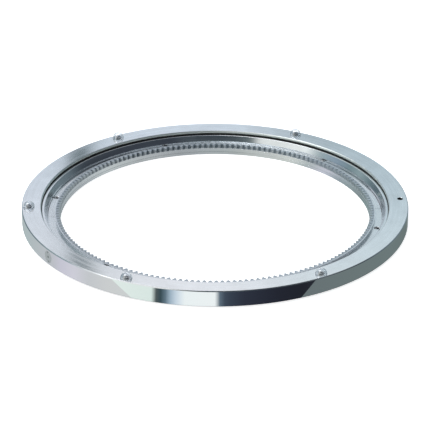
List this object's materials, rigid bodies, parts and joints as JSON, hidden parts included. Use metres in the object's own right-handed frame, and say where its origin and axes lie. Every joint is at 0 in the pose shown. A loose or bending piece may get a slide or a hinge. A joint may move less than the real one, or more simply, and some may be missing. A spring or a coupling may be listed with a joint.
{
  "type": "slewing ring bearing with internal gear teeth",
  "caption": "Thin slewing ring: an outer ring with mounting holes and clear domes turns on balls round an L-section inner ring with internal gear teeth.",
  "frame": {"origin": "on the turning axis, in the plane of the inner ring's bottom face", "axes": "+Z along the turning axis, from the bottom face to the domes; +X through the open mounting hole of the outer ring"},
  "size_m": [0.424, 0.424, 0.0267],
  "materials": {
    "outer_ring_metal": "ring-brushed top and bottom faces, polished rim",
    "inner_ring_metal": "turned, bright",
    "gear_metal": "machined, satin",
    "plug_metal": "turned with the rim",
    "screw_steel": "zinc plated",
    "ball_steel": "polished bearing steel",
    "seal_rubber": "matt black",
    "cage_plastic": "natural nylon",
    "clear_bumper": "clear, glossy"
  },
  "bodies": {
    "base": {"inner_ring": "inner_ring_metal", "gear_segment_a": "gear_metal", "gear_segment_b": "gear_metal", "gear_screw_1": "screw_steel", "gear_screw_2": "screw_steel", "gear_screw_3": "screw_steel", "gear_screw_4": "screw_steel", "gear_screw_5": "screw_steel", "gear_screw_6": "screw_steel", "gear_screw_7": "screw_steel", "gear_screw_8": "screw_steel"},
    "turntable": {"outer_ring": "outer_ring_metal", "loading_plug": "plug_metal", "plug_pin": "screw_steel", "upper_seal": "seal_rubber", "lower_seal": "seal_rubber", "dome_bumper_1": "clear_bumper", "dome_bumper_2": "clear_bumper", "dome_bumper_3": "clear_bumper", "dome_bumper_4": "clear_bumper", "dome_bumper_5": "clear_bumper"},
    "ball_cage": {"ball_cage": "cage_plastic", "ball_1": "ball_steel", "ball_2": "ball_steel", "ball_3": "ball_steel", "ball_4": "ball_steel", "ball_5": "ball_steel", "ball_6": "ball_steel", "ball_7": "ball_steel", "ball_8": "ball_steel", "ball_9": "ball_steel", "ball_10": "ball_steel", "ball_11": "ball_steel", "ball_12": "ball_steel", "ball_13": "ball_steel", "ball_14": "ball_steel", "ball_15": "ball_steel", "ball_16": "ball_steel", "ball_17": "ball_steel", "ball_18": "ball_steel", "ball_19": "ball_steel", "ball_20": "ball_steel", "ball_21": "ball_steel", "ball_22": "ball_steel", "ball_23": "ball_steel", "ball_24": "ball_steel"}
  },
  "joints": [
    {"name": "turntable_spin", "type": "hinge", "parent": "base", "child": "turntable", "pos_m": [0, 0, 0.0104], "axis": [0, 0, 1], "continuous": true},
    {"name": "cage_orbit", "type": "hinge", "parent": "base", "child": "ball_cage", "pos_m": [0, 0, 0.0104], "axis": [0, 0, 1], "continuous": true}
  ],
  "couplings": [
    {"joint": "cage_orbit", "follows": "turntable_spin", "ratio": 0.50558}
  ]
}
